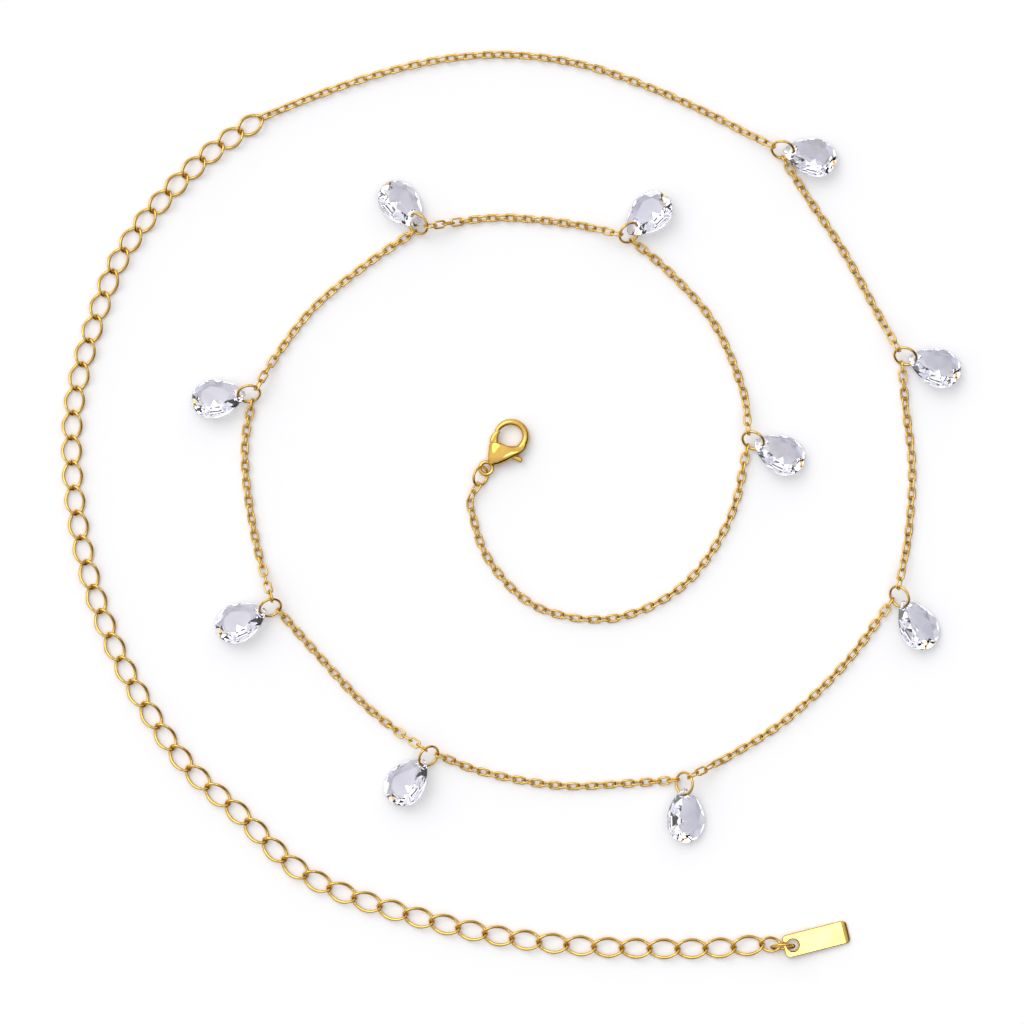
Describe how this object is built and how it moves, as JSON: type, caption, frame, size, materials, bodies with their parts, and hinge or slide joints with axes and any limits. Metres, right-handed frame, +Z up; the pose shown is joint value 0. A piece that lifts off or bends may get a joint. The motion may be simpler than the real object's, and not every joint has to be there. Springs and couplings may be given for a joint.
{
  "type": "waist_chain",
  "caption": "Gold-tone waist chain laid in an open spiral, with clear pear-shaped drops on jump rings, a lobster clasp and a curb-link extender with a plain tag",
  "frame": {"origin": "On the surface that the chain lies on, under the middle of its box, inside the spiral beside the clasp", "axes": "+Z up from the surface; +X to the right and +Y away from the viewer, as seen from above with the tag at the near right"},
  "size_m": [0.204, 0.2062, 0.0056],
  "materials": {
    "gold_plate": "polished",
    "clear_crystal": "faceted"
  },
  "bodies": {
    "chain": {"clasp_body": "gold_plate", "clasp_ring": "gold_plate", "fine_chain_inner": "gold_plate", "fine_chain_outer": "gold_plate", "drop_ring_01": "gold_plate", "drop_ring_02": "gold_plate", "drop_ring_03": "gold_plate", "drop_ring_04": "gold_plate", "drop_ring_05": "gold_plate", "drop_ring_06": "gold_plate", "drop_ring_07": "gold_plate", "drop_ring_08": "gold_plate", "drop_ring_09": "gold_plate", "drop_ring_10": "gold_plate", "drop_01": "clear_crystal", "drop_02": "clear_crystal", "drop_03": "clear_crystal", "drop_04": "clear_crystal", "drop_05": "clear_crystal", "drop_06": "clear_crystal", "drop_07": "clear_crystal", "drop_08": "clear_crystal", "drop_09": "clear_crystal", "drop_10": "clear_crystal", "extender_chain": "gold_plate", "tag_link": "gold_plate", "tag_ring": "gold_plate", "tag": "gold_plate"},
    "clasp_lever": {"clasp_lever": "gold_plate"}
  },
  "joints": [
    {"name": "lever_hinge", "type": "hinge", "parent": "chain", "child": "clasp_lever", "pos_m": [-0.00283, 0.0118, 0.0015], "axis": [0, 0, -1], "range_deg": [0, 22], "stiffness_Nm_per_rad": 0.0002, "springref_deg": -2.86}
  ]
}
